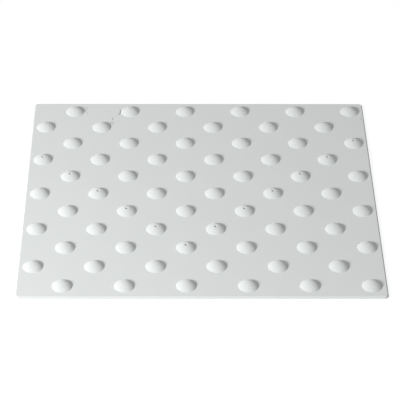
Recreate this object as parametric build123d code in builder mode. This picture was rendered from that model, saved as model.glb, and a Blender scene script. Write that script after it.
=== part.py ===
"""Tactile warning strip: one thin moulded sheet with low domed blisters in staggered rows.

The sheet lies flat on its underside, which is stuck down to the ground. Its top edge is bevelled so that
it makes no trip step, and its corners are rounded. Some blisters have a small conical pit at the top.

Millimetres, +Z up. The origin is the middle of the underside, X runs along the sheet's longer side and
+Y points to the far side. Columns are counted along +X and rows along -Y, both from zero.
"""

import os

from build123d import *

# Sheet
sheet_length = 450.0
sheet_width = 417.0
sheet_thickness = 3.0
corner_radius = 5.0
bevel_run = 1.5
bevel_drop = 1.5

# Blisters: spherical caps with a small moulded radius at the foot
half_pitch = 37.5
blister_diameter = 25.0
blister_height = 5.0
foot_radius = 1.0

# Conical pits, in one blister of each column
pit_diameter = 4.0
pit_floor_diameter = 0.8
pit_depth = 2.4

# The blisters stand in every second square of a chessboard whose squares are half_pitch wide, and the board
# is centred on the sheet. The outermost blisters keep their whole foot on the flat top, inside the bevel.
edge_margin = bevel_run + foot_radius + blister_diameter / 2
columns = 1 + int((sheet_length - 2 * edge_margin) / half_pitch)
rows = 1 + int((sheet_width - 2 * edge_margin) / half_pitch)

# The cap's sphere reaches below the sheet's top face, so that the two solids join over a full disc.
cap_radius = (blister_diameter**2 / 4 + blister_height**2) / (2 * blister_height)
apex_height = sheet_thickness + blister_height
cap_centre_height = apex_height - cap_radius


def column_x(column):
    """X of a column's centre line."""
    return (column - (columns - 1) / 2) * half_pitch


def row_y(row):
    """Y of a row's centre line, with row 0 furthest away."""
    return ((rows - 1) / 2 - row) * half_pitch


def rows_with_blister(column):
    """The rows of a column that hold a blister: every second one, starting one row later in even columns."""
    return range(1 - column % 2, rows, 2)


def pit_row(column):
    """The row of a column's pitted blister: the pits form a wide V with its foot near the near edge."""
    foot_column = columns // 2 - 1
    foot_row = rows - 3
    wanted = foot_row - abs(column - foot_column)
    return min(rows_with_blister(column), key=lambda row: abs(row - wanted))


blister_places = [
    (column_x(column), row_y(row)) for column in range(columns) for row in rows_with_blister(column)
]
pit_places = [(column_x(column), row_y(pit_row(column)), apex_height) for column in range(columns)]

# One blister's cap, cut off flat at mid-thickness of the sheet
with BuildPart() as cap:
    with Locations((0, 0, cap_centre_height)):
        Sphere(cap_radius)
    split(bisect_by=Plane.XY.offset(sheet_thickness / 2), keep=Keep.TOP)

# The sheet with its bevel, then the blisters, their foot radii and the pits
with BuildPart() as tactile_strip:
    with BuildSketch():
        RectangleRounded(sheet_length, sheet_width, corner_radius)
    extrude(amount=sheet_thickness)
    top_face = tactile_strip.faces().sort_by(Axis.Z)[-1]
    chamfer(top_face.edges(), length=bevel_run, length2=bevel_drop, reference=top_face)

    with Locations(*blister_places):
        add(cap.part)
    feet = tactile_strip.edges(Select.LAST).filter_by(GeomType.CIRCLE)
    fillet(feet, radius=foot_radius)

    with Locations(*pit_places):
        Cone(
            pit_floor_diameter / 2,
            pit_diameter / 2,
            pit_depth,
            align=(Align.CENTER, Align.CENTER, Align.MAX),
            mode=Mode.SUBTRACT,
        )

tactile_strip.part.label = "tactile_strip"

os.makedirs("parts", exist_ok=True)
export_step(tactile_strip.part, "parts/tactile_strip.step")
print(f"{columns} columns, {rows} rows, {len(blister_places)} blisters, {len(pit_places)} pits")
print(f"volume {tactile_strip.part.volume / 1000:.1f} cm3")
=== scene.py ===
"""Tactile warning strip: one moulded white sheet with staggered blisters, on a plain white stage.

Laid out as a Blender add-on. Metres, +Z up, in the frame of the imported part: the origin is the middle of the
underside, +X runs along the longer side and +Y points to the far side.
"""

import math
from collections import namedtuple

import bpy
from bpy.props import FloatProperty, FloatVectorProperty, PointerProperty
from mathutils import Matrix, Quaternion, Vector


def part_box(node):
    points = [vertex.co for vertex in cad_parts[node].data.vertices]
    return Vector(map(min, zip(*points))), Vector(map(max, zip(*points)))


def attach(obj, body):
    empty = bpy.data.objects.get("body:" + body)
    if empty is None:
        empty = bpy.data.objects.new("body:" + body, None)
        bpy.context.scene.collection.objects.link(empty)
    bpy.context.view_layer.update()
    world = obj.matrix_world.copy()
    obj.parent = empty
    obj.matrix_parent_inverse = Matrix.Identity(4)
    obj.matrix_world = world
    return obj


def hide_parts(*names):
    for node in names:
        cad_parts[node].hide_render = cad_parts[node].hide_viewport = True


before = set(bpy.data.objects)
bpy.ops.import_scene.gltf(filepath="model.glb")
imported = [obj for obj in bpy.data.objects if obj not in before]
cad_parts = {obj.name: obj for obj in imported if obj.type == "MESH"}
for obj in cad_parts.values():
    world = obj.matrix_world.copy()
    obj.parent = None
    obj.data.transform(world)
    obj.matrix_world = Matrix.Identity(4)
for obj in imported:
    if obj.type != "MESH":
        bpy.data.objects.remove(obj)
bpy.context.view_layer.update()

bl_info = {
    "name": "Tactile warning strip",
    "version": (1, 0, 0),
    "blender": (4, 5, 0),
    "location": "3D View > Sidebar > Tactile strip",
    "description": "Moulds a sheet with staggered blisters and sets it on a plain white stage",
    "category": "Add Mesh",
}

NODE = "tactile_strip"
BODY = "root"

MM = 0.001
UP = (0.0, 0.0, 1.0)
DOWN = (0.0, 0.0, -1.0)

SHEET_LOW, SHEET_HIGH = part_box(NODE)

# How finely the sheet is divided: steps along one side of a blister's square, round half of a sheet corner,
# up a blister's dome and round each small radius
SIDE_STEPS = 12
CORNER_STEPS = 4
DOME_STEPS = 10
BEND_STEPS = 4

# Points closer together than this are one point
MERGE_DISTANCE = 0.0001 * MM

# The sides of a square, anticlockwise, and the direction from its middle to its left near corner
NEAR, RIGHT, FAR, LEFT = range(4)
TO_LEFT_NEAR_CORNER = math.radians(-135)

# A place on a profile: how far out and how high it is, how far its normal leans outwards from upright, and
# how much painted shade and how much rubbing the surface has there
Station = namedtuple("Station", "out high lean dust rub")

# How rubbed the worn places are, and how much painted shade darkens the sheltered places, from 0 to 1
BEVEL_TOP_RUB = 1.0
BEVEL_FOOT_RUB = 0.6
DOME_RUB = 0.5
# Painted shade at the foot of the sheet's sides, next to the floor
SHEET_FOOT_PAINTED_SHADE = 0.15
# Painted shade on a pit's floor, fading out up its wall
PIT_FLOOR_PAINTED_SHADE = 0.5

# A mark on the top face: its middle, its radius and how strongly it shows
Spot = namedtuple("Spot", "x y radius strength")

# Dark specks and a faint smear, all near the far side of the sheet
SPOTS = (
    Spot(-116.9 * MM, 172.6 * MM, 1.9 * MM, 0.45),
    Spot(-117.0 * MM, 169.4 * MM, 2.0 * MM, 0.5),
    Spot(-116.6 * MM, 161.0 * MM, 4.0 * MM, 0.25),
    Spot(-154.6 * MM, 189.8 * MM, 2.0 * MM, 0.6),
    Spot(-153.0 * MM, 198.2 * MM, 1.9 * MM, 0.35),
    Spot(-153.2 * MM, 193.8 * MM, 1.8 * MM, 0.5),
    Spot(-152.5 * MM, 185.4 * MM, 1.8 * MM, 0.4),
    Spot(220.4 * MM, 173.0 * MM, 1.4 * MM, 0.35),
    Spot(220.4 * MM, 169.6 * MM, 1.4 * MM, 0.4),
)

# One curved scratch beside a blister of the furthest row: it lies on a circle, within a stretch round its
# own middle
SCRATCH_CIRCLE_X = -121.5 * MM
SCRATCH_CIRCLE_Y = 189.0 * MM
SCRATCH_CIRCLE_RADIUS = 14.7 * MM
SCRATCH_X = -107.4 * MM
SCRATCH_Y = 186.0 * MM
SCRATCH_HALF_LENGTH = 9.5 * MM
SCRATCH_HALF_WIDTH = 1.1 * MM
SCRATCH_STRENGTH = 0.85

# The share of a mark's half width in which it shows at full strength, before it fades out
MARK_CORE = 0.35

# How many finer layers the noise of each pattern has, and the middle of what a noise gives
CLOUD_DETAIL = 3.0
MOTTLE_DETAIL = 2.0
GRAIN_DETAIL = 2.0
NOISE_MIDDLE = (0.5, 0.5, 0.5)

# Sockets of the mix node when it mixes colours: the share of the second, the two colours and the result
MIX_SHARE = 0
MIX_FIRST = 6
MIX_SECOND = 7
MIX_RESULT = 2


def linear(hex_colour):
    """Turns an sRGB hex colour into linear red, green, blue and alpha."""
    levels = [int(hex_colour[i:i + 2], 16) / 255 for i in (1, 3, 5)]
    return [v / 12.92 if v <= 0.04045 else ((v + 0.055) / 1.055) ** 2.4 for v in levels] + [1.0]


def length(name, description, default):
    """A property that is a length in metres."""
    return FloatProperty(
        name=name, description=description, default=default, min=0.0, precision=5, unit="LENGTH"
    )


def share(name, description, default):
    """A property that is a share, from 0 to 1."""
    return FloatProperty(
        name=name, description=description, default=default, min=0.0, max=1.0, subtype="FACTOR"
    )


def colour(name, description, hex_colour):
    """A property that is a colour, given as sRGB hex."""
    return FloatVectorProperty(
        name=name,
        description=description,
        default=linear(hex_colour),
        size=4,
        min=0.0,
        max=1.0,
        subtype="COLOR",
    )


def angle(name, description, degrees):
    """A property that is an angle, given in degrees."""
    return FloatProperty(name=name, description=description, default=math.radians(degrees), subtype="ANGLE")


class StripSizes(bpy.types.PropertyGroup):
    """Sizes of the sheet, its blisters and their pits"""

    sheet_length: length("Length", "Sheet size along X", SHEET_HIGH.x - SHEET_LOW.x)
    sheet_width: length("Width", "Sheet size along Y", SHEET_HIGH.y - SHEET_LOW.y)
    apex_height: length("Overall height", "Height of the blisters' tops", SHEET_HIGH.z - SHEET_LOW.z)
    thickness: length("Thickness", "Sheet thickness between the blisters", 3 * MM)
    corner_radius: length("Corner radius", "Radius of the sheet's four corners", 5 * MM)
    bevel_run: length("Bevel run", "Bevel of the top edge, measured across", 1.5 * MM)
    bevel_drop: length("Bevel drop", "Bevel of the top edge, measured down", 1.5 * MM)
    edge_rounding: length("Edge rounding", "Radius that softens the bevel's two edges", 0.4 * MM)
    underside_rounding: length("Underside rounding", "Radius at the foot of the sheet's sides", 0.2 * MM)
    half_pitch: length("Half pitch", "Side of the chessboard squares that the blisters stand in", 37.5 * MM)
    blister_diameter: length("Blister diameter", "Diameter of a blister's dome at the sheet", 25 * MM)
    foot_radius: length("Foot radius", "Hollow radius round a blister's foot", 1 * MM)
    pit_diameter: length("Pit diameter", "Diameter of the conical pit in some blisters, at its mouth", 4 * MM)
    pit_floor_diameter: length("Pit floor diameter", "Diameter of that pit's flat floor", 0.8 * MM)
    pit_depth: length("Pit depth", "Depth of that pit below the blister's top", 2.4 * MM)
    pit_rounding: length("Pit rounding", "Radius of that pit's lip and of the corner at its floor", 0.15 * MM)


class StripFinish(bpy.types.PropertyGroup):
    """Colours and surface of the moulded polyurethane"""

    polymer: colour("Polymer", "Colour of the clean moulded sheet", "#E1E3E3")
    polymer_cast: colour("Polymer cast", "Colour where the pigment settled a little darker", "#DCDFDE")
    # Painted shade: a dark colour laid into the pits and along the foot of the sheet's sides, where shade
    # falls
    dust: colour("Dust", "Colour of the dust in the pits and at the foot of the sheet's sides", "#6B6862")
    scuff: colour("Scuff", "Colour of scratches and specks", "#8A8C8B")
    ior: FloatProperty(name="IOR", description="Index of refraction of polyurethane", default=1.5, min=1.0)
    roughness: share("Roughness", "How matt the moulded skin is", 0.75)
    roughness_spread: share("Roughness spread", "How far that strays either way", 0.05)
    rubbed_roughness: share("Rubbed roughness", "How matt the skin is where shoes have rubbed it", 0.68)
    body_roughness: share("Body roughness", "Fine unevenness that keeps the lit sides flat in tone", 0.6)
    sheen: share("Sheen", "Weight of the skin's surface reflection", 0.2)
    mark_spread: length("Mark spread", "How far the outlines of scuffs wander", 1.5 * MM)
    cloud_size: length("Cloud size", "Width of the slow changes of tone", 110 * MM)
    mottle_size: length("Mottle size", "Width of the fine changes of gloss", 7 * MM)
    # A mould's real grain is about a tenth of a millimetre wide. It is drawn coarser here, so that it shows.
    grain_size: length("Grain size", "Width of the mould's fine grain, as drawn", 0.9 * MM)
    grain_depth: length("Grain depth", "Depth of the mould's fine grain", 0.012 * MM)


class StageSettings(bpy.types.PropertyGroup):
    """Camera, light and floor"""

    camera_aim: FloatVectorProperty(
        name="Camera aim",
        description="Point in the middle of the picture",
        default=(-0.3 * MM, -9.8 * MM, 0.0),
        subtype="TRANSLATION",
        unit="LENGTH",
    )
    camera_distance: length("Camera distance", "From the aim to the camera", 2.44)
    camera_azimuth: angle("Camera azimuth", "Camera's direction from the front, to the right", -0.965)
    camera_elevation: angle("Camera elevation", "Camera's height over the ground, as an angle", 36.74)
    camera_roll: angle("Camera roll", "Turn of the camera about its own axis", 0.578)
    lens: FloatProperty(
        name="Lens", description="Focal length on a 36 mm sensor", default=170.9, subtype="DISTANCE_CAMERA"
    )
    key_azimuth: angle("Key azimuth", "Key light's direction from the front, to the right", -50.0)
    key_elevation: angle("Key elevation", "Key light's height over the ground, as an angle", 25.0)
    key_distance: length("Key distance", "From the sheet to the key light", 2.2)
    key_size: length("Key size", "Diameter of the soft key light", 0.65)
    key_power: FloatProperty(
        name="Key power", description="Power of the key light", default=47.0, unit="POWER"
    )
    fill: FloatProperty(
        name="Fill", description="Strength of the even light from all round", default=0.36, min=0.0
    )
    backdrop: colour("Backdrop", "Colour of the floor and of the space behind it", "#FFFFFF")
    floor_bounce: colour("Floor bounce", "Colour of the floor that lights the sheet's sides", "#F2F2F2")
    floor_glow: share("Floor glow", "Share of the floor's seen white that no shadow takes away", 0.85)
    floor_shade: share("Floor shade", "How strongly light and shadow show on the floor's seen white", 0.25)
    floor_size: length("Floor size", "Side of the square floor", 12.0)
    floor_gap: length("Floor gap", "Gap that keeps the floor clear of the sheet's underside", 0.05 * MM)


def arc(out, high, radius, leans, dust=0.0, rub=0.0):
    """Stations round an arc about a centre, one for each lean. A negative radius is a hollow."""
    return [
        Station(out + radius * math.sin(lean), high + radius * math.cos(lean), lean, dust, rub)
        for lean in leans
    ]


def steps(start, end, count):
    """Evenly spaced values from start to end, both included."""
    return [start + (end - start) * i / count for i in range(count + 1)]


def bevel_lean(sizes):
    """How far the bevel's normal leans outwards from upright."""
    return math.atan2(sizes.bevel_drop, sizes.bevel_run)


def flat_inset(sizes):
    """How far the flat top's outline lies inside the sheet's own outline."""
    return sizes.bevel_run + sizes.edge_rounding * math.tan(bevel_lean(sizes) / 2)


def edge_profile(sizes):
    """The sheet's edge from its flat top outwards: rounded bevel, upright side and rounded foot."""
    lean = bevel_lean(sizes)
    level = math.pi / 2
    soft = sizes.edge_rounding
    foot = sizes.underside_rounding
    outermost = flat_inset(sizes)
    side_top = sizes.thickness - sizes.bevel_drop - soft * math.tan((level - lean) / 2)
    return (
        arc(0, sizes.thickness - soft, soft, steps(0, lean, BEND_STEPS), rub=BEVEL_TOP_RUB)
        + arc(outermost - soft, side_top, soft, steps(lean, level, BEND_STEPS), rub=BEVEL_FOOT_RUB)
        # The rounded foot of the sides, next to the floor, is darkened with painted shade.
        + arc(outermost - foot, foot, foot, steps(level, math.pi, BEND_STEPS), dust=SHEET_FOOT_PAINTED_SHADE)
    )


def blister_profile(sizes, has_pit):
    """A blister from the flat sheet inwards: hollow foot, dome, and the conical pit where it has one."""
    rise = sizes.apex_height - sizes.thickness
    dome = (sizes.blister_diameter**2 / 4 + rise**2) / (2 * rise)
    dome_centre = sizes.apex_height - dome
    foot = sizes.foot_radius
    foot_high = sizes.thickness + foot
    foot_out = math.sqrt((dome + foot) ** 2 - (foot_high - dome_centre) ** 2)
    steepest = math.asin(foot_out / (dome + foot))
    stations = arc(foot_out, foot_high, -foot, steps(0, steepest, BEND_STEPS))

    if not has_pit:
        leans = steps(steepest, 0, DOME_STEPS)[1:-1]
        return stations + arc(0, dome_centre, dome, leans, rub=DOME_RUB)

    mouth = sizes.pit_diameter / 2
    floor = sizes.pit_floor_diameter / 2
    slope = math.atan2(sizes.pit_depth, mouth - floor)
    lip = sizes.pit_rounding
    lip_out = mouth + lip * math.tan(slope / 2)
    lip_high = dome_centre + math.sqrt((dome - lip) ** 2 - lip_out**2)
    lip_lean = math.asin(lip_out / (dome - lip))
    corner_out = floor - lip * math.tan(slope / 2)
    corner_high = sizes.apex_height - sizes.pit_depth + lip
    leans = steps(steepest, lip_lean, DOME_STEPS)[1:-1]
    stations += arc(0, dome_centre, dome, leans, rub=DOME_RUB)
    stations += arc(lip_out, lip_high, lip, steps(lip_lean, -slope, BEND_STEPS))
    # The pit's floor is darkened with painted shade, which fades out up the pit's wall to the lip.
    return stations + arc(corner_out, corner_high, -lip, steps(-slope, 0, BEND_STEPS), dust=PIT_FLOOR_PAINTED_SHADE)


class SheetMesh:
    """Points, normals and faces of the sheet. Points that fall together are merged."""

    def __init__(self):
        self.points = []
        self.normals = []
        self.dust = []
        self.rub = []
        self.faces = []
        self.known = {}

    def point(self, x, y, z, normal=UP, dust=0.0, rub=0.0):
        """Number of the point at that place, which is added if it is new."""
        key = (round(x / MERGE_DISTANCE), round(y / MERGE_DISTANCE), round(z / MERGE_DISTANCE))
        if key not in self.known:
            self.known[key] = len(self.points)
            self.points.append((x, y, z))
            self.normals.append(normal)
            self.dust.append(dust)
            self.rub.append(rub)
        return self.known[key]

    def loop(self, places, outwards, station):
        """One closed loop of a profile, each point moved outwards from its place and leaning that way."""
        sideways, upright = math.sin(station.lean), math.cos(station.lean)
        return [
            self.point(
                x + out_x * station.out,
                y + out_y * station.out,
                station.high,
                (out_x * sideways, out_y * sideways, upright),
                station.dust,
                station.rub,
            )
            for (x, y), (out_x, out_y) in zip(places, outwards)
        ]

    def loft(self, outer, inner):
        """Quads between two closed loops that run anticlockwise."""
        for i in range(len(outer)):
            self.faces.append((outer[i - 1], outer[i], inner[i], inner[i - 1]))

    def fan(self, run, tip):
        """Triangles from each step of a run of points to a tip."""
        for start, end in zip(run, run[1:]):
            self.faces.append((start, end, tip))

    def grid(self, near, right, far, left, z):
        """A flat patch of quads inside four sides that run anticlockwise, each with both its end points."""
        count = len(near) - 1
        far, left = far[::-1], left[::-1]

        def place(i, j, axis):
            """One coordinate of a point of the patch, blended from the four sides."""
            u, v = i / count, j / count
            across = (1 - v) * near[i][axis] + v * far[i][axis]
            along = (1 - u) * left[j][axis] + u * right[j][axis]
            low = (1 - u) * near[0][axis] + u * near[-1][axis]
            high = (1 - u) * far[0][axis] + u * far[-1][axis]
            return across + along - (1 - v) * low - v * high

        rows = [
            [self.point(place(i, j, 0), place(i, j, 1), z) for i in range(count + 1)]
            for j in range(count + 1)
        ]
        for low, high in zip(rows, rows[1:]):
            for i in range(count):
                self.faces.append((low[i], low[i + 1], high[i + 1], high[i]))

    def build(self, name):
        """The finished object, smooth by its exact normals, with its painted shade and rubbing as attributes.
        """
        mesh = bpy.data.meshes.new(name)
        mesh.from_pydata(self.points, [], self.faces)
        mesh.shade_smooth()
        mesh.normals_split_custom_set_from_vertices(self.normals)
        for attribute, values in (("dust", self.dust), ("rub", self.rub)):
            mesh.attributes.new(attribute, "FLOAT", "POINT").data.foreach_set("value", values)
        if mesh.validate():
            raise RuntimeError("the sheet's mesh has bad faces")
        piece = bpy.data.objects.new(name, mesh)
        bpy.context.scene.collection.objects.link(piece)
        return piece


class BlisterBoard:
    """The chessboard of squares that covers the flat top, with the outer squares cut back to the bevel."""

    def __init__(self, sizes):
        self.sizes = sizes
        self.columns = round(sizes.sheet_length / sizes.half_pitch)
        self.rows = round(sizes.sheet_width / sizes.half_pitch)
        inset = flat_inset(sizes)
        self.half_x = sizes.sheet_length / 2 - inset
        self.half_y = sizes.sheet_width / 2 - inset
        self.corner = sizes.corner_radius - inset
        self.lines_x = self.lines(self.columns, self.half_x)
        self.lines_y = self.lines(self.rows, self.half_y)

    def lines(self, count, half):
        """The board's lines along one axis, the first and last of them on the flat top's outline."""
        pitch = self.sizes.half_pitch
        return [-half] + [(i - count / 2) * pitch for i in range(1, count)] + [half]

    def middle(self, column, row):
        """Middle of a square, with rows counted along +Y."""
        pitch = self.sizes.half_pitch
        return (column - (self.columns - 1) / 2) * pitch, (row - (self.rows - 1) / 2) * pitch

    def has_blister(self, column, row):
        """Every second square has a blister, and the right near corner has one."""
        return (self.columns - 1 - column + row) % 2 == 0

    def has_pit(self, column, row):
        """The pitted blisters form a wide V, one in each column, with its foot near the near edge."""
        foot_column = self.columns // 2 - 1
        foot_row = 2
        return self.has_blister(column, row) and row == foot_row + abs(column - foot_column)

    def sides(self, column, row):
        """The four sides of a square, anticlockwise from the near one, each with both its end points."""
        left, right = self.lines_x[column], self.lines_x[column + 1]
        near, far = self.lines_y[row], self.lines_y[row + 1]
        corners = [(left, near), (right, near), (right, far), (left, far)]
        return [self.side(start, end) for start, end in zip(corners, corners[1:] + corners[:1])]

    def side(self, start, end):
        """Points from one corner of a square to the next, round half of a sheet corner where one is met."""
        span = math.dist(start, end)
        dx, dy = (end[0] - start[0]) / span, (end[1] - start[1]) / span
        round_start, round_end = self.is_sheet_corner(start), self.is_sheet_corner(end)
        radius = self.corner
        half_turn = steps(0, math.pi / 4, CORNER_STEPS)
        points = []
        if round_start:
            cx, cy = start[0] + (dx - dy) * radius, start[1] + (dy + dx) * radius
            for turn in half_turn[:0:-1]:
                back, out = math.sin(turn) * radius, math.cos(turn) * radius
                points.append((cx - dx * back + dy * out, cy - dy * back - dx * out))
        first = radius if round_start else 0.0
        last = span - (radius if round_end else 0.0)
        straight = SIDE_STEPS - CORNER_STEPS * (round_start + round_end)
        points += [(start[0] + dx * s, start[1] + dy * s) for s in steps(first, last, straight)]
        if round_end:
            cx, cy = end[0] - (dx + dy) * radius, end[1] - (dy - dx) * radius
            for turn in half_turn[1:]:
                ahead, out = math.sin(turn) * radius, math.cos(turn) * radius
                points.append((cx + dx * ahead + dy * out, cy + dy * ahead - dx * out))
        return points

    def is_sheet_corner(self, place):
        """Whether a square's corner is one of the sheet's own corners."""
        return abs(place[0]) == self.half_x and abs(place[1]) == self.half_y

    def border(self):
        """The outer sides of the outer squares, one by one, anticlockwise from the left near corner."""
        last_column, last_row = self.columns - 1, self.rows - 1
        outer = [(column, 0, NEAR) for column in range(self.columns)]
        outer += [(last_column, row, RIGHT) for row in range(self.rows)]
        outer += [(column, last_row, FAR) for column in range(last_column, -1, -1)]
        outer += [(0, row, LEFT) for row in range(last_row, -1, -1)]
        return [self.sides(column, row)[side] for column, row, side in outer]

    def outwards(self, place):
        """The direction out of the sheet at a point of the flat top's outline."""
        x, y = place
        over_x, over_y = abs(x) - (self.half_x - self.corner), abs(y) - (self.half_y - self.corner)
        if over_x > 0 and over_y > 0:
            return math.copysign(over_x / self.corner, x), math.copysign(over_y / self.corner, y)
        if over_x > over_y:
            return math.copysign(1.0, x), 0.0
        return 0.0, math.copysign(1.0, y)


def add_blister(sheet, board, column, row):
    """One square with its blister: flat to the foot, then the blister's profile as rings."""
    sizes = board.sizes
    outline = [place for side in board.sides(column, row) for place in side[:-1]]
    count = len(outline)
    middle = board.middle(column, row)
    has_pit = board.has_pit(column, row)
    # The outline starts at the square's left near corner, so the rings start in that direction too.
    turns = [TO_LEFT_NEAR_CORNER + 2 * math.pi * i / count for i in range(count)]
    outwards = [(math.cos(turn), math.sin(turn)) for turn in turns]
    outer = [sheet.point(x, y, sizes.thickness) for x, y in outline]
    for station in blister_profile(sizes, has_pit):
        ring = sheet.loop([middle] * count, outwards, station)
        sheet.loft(outer, ring)
        outer = ring
    # The last ring is closed at its own height in a pit, and at the dome's top elsewhere.
    top = station.high if has_pit else sizes.apex_height
    tip = sheet.point(*middle, top, UP, station.dust, station.rub)
    sheet.fan(outer + outer[:1], tip)


def add_underside(sheet, board, runs):
    """The flat underside: fans from the outer squares' inner corners to the edge's runs, and quads inside."""
    inner = {
        (i, j): sheet.point(board.lines_x[i], board.lines_y[j], 0.0, DOWN)
        for i in range(1, board.columns)
        for j in range(1, board.rows)
    }

    def nearest_inner(i, j):
        """The inner point that is nearest to one of the board's corners."""
        return inner[min(max(i, 1), board.columns - 1), min(max(j, 1), board.rows - 1)]

    corners = [(i, 0) for i in range(board.columns)]
    corners += [(board.columns, j) for j in range(board.rows)]
    corners += [(i, board.rows) for i in range(board.columns, 0, -1)]
    corners += [(0, j) for j in range(board.rows, 0, -1)]
    for number, run in enumerate(runs):
        start = nearest_inner(*corners[number])
        end = nearest_inner(*corners[(number + 1) % len(corners)])
        if start == end:
            sheet.fan(run[::-1], start)
            continue
        half = len(run) // 2
        sheet.fan(run[half::-1], start)
        sheet.fan(run[:half - 1:-1], end)
        sheet.faces.append((run[half], start, end))
    for i in range(1, board.columns - 1):
        for j in range(1, board.rows - 1):
            sheet.faces.append((inner[i, j], inner[i, j + 1], inner[i + 1, j + 1], inner[i + 1, j]))


def add_node(tree, kind, inputs=None, **settings):
    """Adds a node with its settings, and sets or links its inputs by name or number."""
    node = tree.nodes.new(kind)
    for name, value in settings.items():
        setattr(node, name, value)
    for key, value in (inputs or {}).items():
        if isinstance(value, bpy.types.NodeSocket):
            tree.links.new(value, node.inputs[key])
        else:
            node.inputs[key].default_value = value
    return node


def empty_tree(owner):
    """The node tree of a material or world, emptied."""
    owner.use_nodes = True
    owner.node_tree.nodes.clear()
    return owner.node_tree


def ring_mask(tree, place, middle, radius, half_width, strength=1.0):
    """A soft mask along a circle, or over a spot where the radius is nothing."""
    away = add_node(tree, "ShaderNodeVectorMath", {0: place, 1: middle}, operation="DISTANCE")
    apart = add_node(tree, "ShaderNodeMath", {0: away.outputs["Value"], 1: radius}, operation="SUBTRACT")
    gap = add_node(tree, "ShaderNodeMath", {0: apart.outputs[0]}, operation="ABSOLUTE")
    fade = {
        "Value": gap.outputs[0],
        "From Min": half_width,
        "From Max": MARK_CORE * half_width,
        "To Max": strength,
    }
    mask = add_node(tree, "ShaderNodeMapRange", fade, interpolation_type="SMOOTHSTEP")
    return mask.outputs["Result"]


def scuff_mask(tree, place, top):
    """Where the flat top is marked: a few specks, a smear and one curved scratch."""
    circle = (SCRATCH_CIRCLE_X, SCRATCH_CIRCLE_Y, top)
    line = ring_mask(tree, place, circle, SCRATCH_CIRCLE_RADIUS, SCRATCH_HALF_WIDTH, SCRATCH_STRENGTH)
    stretch = ring_mask(tree, place, (SCRATCH_X, SCRATCH_Y, top), 0.0, SCRATCH_HALF_LENGTH)
    marks = add_node(tree, "ShaderNodeMath", {0: line, 1: stretch}, operation="MULTIPLY").outputs[0]
    for spot in SPOTS:
        mask = ring_mask(tree, place, (spot.x, spot.y, top), 0.0, spot.radius, spot.strength)
        marks = add_node(tree, "ShaderNodeMath", {0: marks, 1: mask}, operation="MAXIMUM").outputs[0]
    return marks


def moulded_polyurethane(finish, top):
    """White polyurethane, cast in a smooth mould.

    It gives the eye a nearly flat, slightly cool white with a soft satin sheen. The pigment clouds a little
    and the skin has the mould's fine grain, rubbed smoother on the edges and the blisters. Painted shade in
    the pits and a trace of it at the foot of the sides, and a few scuffs, are all that is dark on it.
    """
    material = bpy.data.materials.new("moulded_polyurethane")
    tree = empty_tree(material)
    place = add_node(tree, "ShaderNodeTexCoord").outputs["Object"]
    patterns = (
        (finish.cloud_size, CLOUD_DETAIL),
        (finish.mottle_size, MOTTLE_DETAIL),
        (finish.grain_size, GRAIN_DETAIL),
    )
    clouds, mottle, grain = [
        add_node(tree, "ShaderNodeTexNoise", {"Vector": place, "Scale": 1 / size, "Detail": detail})
        for size, detail in patterns
    ]
    # Painted shade, darkest in the pits and faint at the foot of the sides
    dust = add_node(tree, "ShaderNodeAttribute", attribute_name="dust").outputs["Fac"]
    rub = add_node(tree, "ShaderNodeAttribute", attribute_name="rub").outputs["Fac"]

    # Marks lie where the place falls after a small push by the mottle, so that their outlines are uneven.
    astray = {0: mottle.outputs["Color"], 1: NOISE_MIDDLE}
    push = add_node(tree, "ShaderNodeVectorMath", astray, operation="SUBTRACT")
    moved = {0: push.outputs[0], 1: (finish.mark_spread,) * 3, 2: place}
    pushed = add_node(tree, "ShaderNodeVectorMath", moved, operation="MULTIPLY_ADD")
    scuffs = scuff_mask(tree, pushed.outputs[0], top)

    # The cast colour lies over the polymer's own, then the painted shade, then the scuffs.
    skin = finish.polymer
    layers = ((clouds.outputs["Fac"], finish.polymer_cast), (dust, finish.dust), (scuffs, finish.scuff))
    for cover, paint in layers:
        layer = {MIX_SHARE: cover, MIX_FIRST: skin, MIX_SECOND: paint}
        skin = add_node(tree, "ShaderNodeMix", layer, data_type="RGBA").outputs[MIX_RESULT]

    satin = {
        "Value": mottle.outputs["Fac"],
        "To Min": finish.roughness - finish.roughness_spread,
        "To Max": finish.roughness + finish.roughness_spread,
    }
    uneven = add_node(tree, "ShaderNodeMapRange", satin).outputs["Result"]
    worn = {"Value": rub, "To Min": uneven, "To Max": finish.rubbed_roughness}
    gloss = add_node(tree, "ShaderNodeMapRange", worn).outputs["Result"]
    bumps = {"Height": grain.outputs["Fac"], "Distance": finish.grain_depth, "Strength": 1.0}
    relief = add_node(tree, "ShaderNodeBump", bumps)
    surface = add_node(
        tree,
        "ShaderNodeBsdfPrincipled",
        {
            "Base Color": skin,
            "Diffuse Roughness": finish.body_roughness,
            "Roughness": gloss,
            "IOR": finish.ior,
            "Specular IOR Level": finish.sheen,
            "Normal": relief.outputs["Normal"],
        },
    )
    add_node(tree, "ShaderNodeOutputMaterial", {"Surface": surface.outputs["BSDF"]})
    return material


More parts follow.
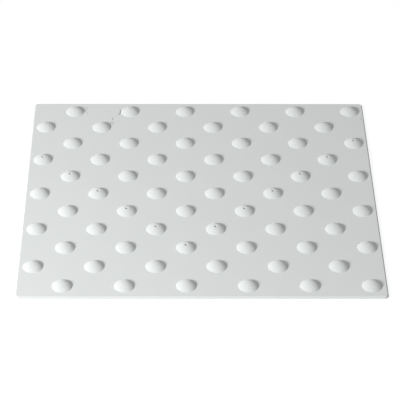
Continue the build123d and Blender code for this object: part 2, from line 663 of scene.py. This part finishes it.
class TACTILE_OT_mould_sheet(bpy.types.Operator):
    """Mould the sheet with its blisters, pits and bevelled edge in white polyurethane"""

    bl_idname = "tactile_strip.mould_sheet"
    bl_label = "Mould the sheet"
    bl_options = {"REGISTER", "UNDO"}

    def execute(self, context):
        sizes = context.scene.strip_sizes
        board = BlisterBoard(sizes)
        sheet = SheetMesh()
        for column in range(board.columns):
            for row in range(board.rows):
                if board.has_blister(column, row):
                    add_blister(sheet, board, column, row)
                else:
                    sheet.grid(*board.sides(column, row), sizes.thickness)

        places = [place for side in board.border() for place in side[:-1]]
        outwards = [board.outwards(place) for place in places]
        loops = [sheet.loop(places, outwards, station) for station in edge_profile(sizes)]
        for inner, outer in zip(loops, loops[1:]):
            sheet.loft(outer, inner)
        foot = loops[-1] + loops[-1][:1]
        runs = [foot[i:i + SIDE_STEPS + 1] for i in range(0, len(foot) - 1, SIDE_STEPS)]
        add_underside(sheet, board, runs)

        piece = sheet.build("moulded_sheet")
        piece.data.materials.append(moulded_polyurethane(context.scene.strip_finish, sizes.thickness))
        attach(piece, BODY)
        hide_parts(NODE)
        return {"FINISHED"}


def direction(azimuth, elevation):
    """Unit vector to a place at that angle from the front, to the right, and over the ground."""
    return Vector((
        math.sin(azimuth) * math.cos(elevation),
        -math.cos(azimuth) * math.cos(elevation),
        math.sin(elevation),
    ))


def seen_directly(tree):
    """1 for rays from the camera, in a reflection or through glass too, and 0 for rays that bring light."""
    path = add_node(tree, "ShaderNodeLightPath").outputs
    seen = path["Is Camera Ray"]
    for kind in ("Is Glossy Ray", "Is Transmission Ray"):
        seen = add_node(tree, "ShaderNodeMath", {0: seen, 1: path[kind]}, operation="MAXIMUM").outputs[0]
    return seen


def floor_paint(stage):
    """Matt white floor paint, seen as plain white with a faint shadow, that lights the sheet's sides."""
    material = bpy.data.materials.new("white_floor_paint")
    tree = empty_tree(material)
    faint = [level * stage.floor_shade for level in stage.backdrop[:3]] + [1.0]
    bounce = add_node(tree, "ShaderNodeBsdfDiffuse", {"Color": stage.floor_bounce})
    shade = add_node(tree, "ShaderNodeBsdfDiffuse", {"Color": faint})
    glow = add_node(tree, "ShaderNodeEmission", {"Color": stage.backdrop, "Strength": stage.floor_glow})
    white = add_node(tree, "ShaderNodeAddShader", {0: shade.outputs[0], 1: glow.outputs[0]})
    parts = {0: seen_directly(tree), 1: bounce.outputs[0], 2: white.outputs[0]}
    paint = add_node(tree, "ShaderNodeMixShader", parts)
    add_node(tree, "ShaderNodeOutputMaterial", {"Surface": paint.outputs[0]})
    return material


def add_floor(scene, stage):
    """The square floor, a hair's breadth below the sheet."""
    half = stage.floor_size / 2
    below = SHEET_LOW.z - stage.floor_gap
    corners = [(-half, -half, below), (half, -half, below), (half, half, below), (-half, half, below)]
    mesh = bpy.data.meshes.new("floor")
    mesh.from_pydata(corners, [], [(0, 1, 2, 3)])
    mesh.materials.append(floor_paint(stage))
    floor = bpy.data.objects.new("floor", mesh)
    scene.collection.objects.link(floor)


def add_fill_light(scene, stage):
    """A world that is seen as white and gives an even light from all round."""
    world = bpy.data.worlds.new("white_space")
    tree = empty_tree(world)
    even = add_node(tree, "ShaderNodeBackground", {"Color": stage.backdrop, "Strength": stage.fill})
    white = add_node(tree, "ShaderNodeBackground", {"Color": stage.backdrop})
    parts = {0: seen_directly(tree), 1: even.outputs[0], 2: white.outputs[0]}
    space = add_node(tree, "ShaderNodeMixShader", parts)
    add_node(tree, "ShaderNodeOutputWorld", {"Surface": space.outputs[0]})
    scene.world = world


def add_key_light(scene, stage):
    """The soft round lamp that shades the blisters, turned to the sheet's middle."""
    lamp = bpy.data.lights.new("key_light", "AREA")
    lamp.shape = "DISK"
    lamp.size = stage.key_size
    lamp.energy = stage.key_power
    key = bpy.data.objects.new("key_light", lamp)
    key.location = stage.key_distance * direction(stage.key_azimuth, stage.key_elevation)
    key.rotation_mode = "QUATERNION"
    key.rotation_quaternion = (-key.location).to_track_quat("-Z", "Y")
    scene.collection.objects.link(key)


def add_camera(scene, stage):
    """The camera, turned to its aim and rolled about its own axis."""
    lens = bpy.data.cameras.new("camera")
    lens.lens = stage.lens
    camera = bpy.data.objects.new("camera", lens)
    back = direction(stage.camera_azimuth, stage.camera_elevation)
    camera.location = Vector(stage.camera_aim) + stage.camera_distance * back
    camera.rotation_mode = "QUATERNION"
    roll = Quaternion(UP, stage.camera_roll)
    camera.rotation_quaternion = (-back).to_track_quat("-Z", "Y") @ roll
    scene.collection.objects.link(camera)
    scene.camera = camera


class TACTILE_OT_set_stage(bpy.types.Operator):
    """Set the floor, the even fill light, the soft key light from the left and the camera"""

    bl_idname = "tactile_strip.set_stage"
    bl_label = "Set the stage"
    bl_options = {"REGISTER", "UNDO"}

    def execute(self, context):
        scene = context.scene
        stage = scene.strip_stage
        scene.view_settings.view_transform = "Standard"
        add_floor(scene, stage)
        add_fill_light(scene, stage)
        add_key_light(scene, stage)
        add_camera(scene, stage)
        return {"FINISHED"}


class TACTILE_PT_strip(bpy.types.Panel):
    """Sizes, finish and stage of the tactile strip, and the operators that make them"""

    bl_label = "Tactile strip"
    bl_space_type = "VIEW_3D"
    bl_region_type = "UI"
    bl_category = "Tactile strip"

    def draw(self, context):
        scene = context.scene
        groups = (
            (scene.strip_sizes, StripSizes),
            (scene.strip_finish, StripFinish),
            (scene.strip_stage, StageSettings),
        )
        for group, kind in groups:
            box = self.layout.box()
            for name in kind.__annotations__:
                box.prop(group, name)
        self.layout.operator(TACTILE_OT_mould_sheet.bl_idname)
        self.layout.operator(TACTILE_OT_set_stage.bl_idname)


CLASSES = (
    StripSizes,
    StripFinish,
    StageSettings,
    TACTILE_OT_mould_sheet,
    TACTILE_OT_set_stage,
    TACTILE_PT_strip,
)


def register():
    for kind in CLASSES:
        bpy.utils.register_class(kind)
    bpy.types.Scene.strip_sizes = PointerProperty(type=StripSizes)
    bpy.types.Scene.strip_finish = PointerProperty(type=StripFinish)
    bpy.types.Scene.strip_stage = PointerProperty(type=StageSettings)


def unregister():
    del bpy.types.Scene.strip_stage
    del bpy.types.Scene.strip_finish
    del bpy.types.Scene.strip_sizes
    for kind in reversed(CLASSES):
        bpy.utils.unregister_class(kind)


def main():
    register()
    bpy.ops.tactile_strip.mould_sheet()
    bpy.ops.tactile_strip.set_stage()


if __name__ == "__main__":
    main()
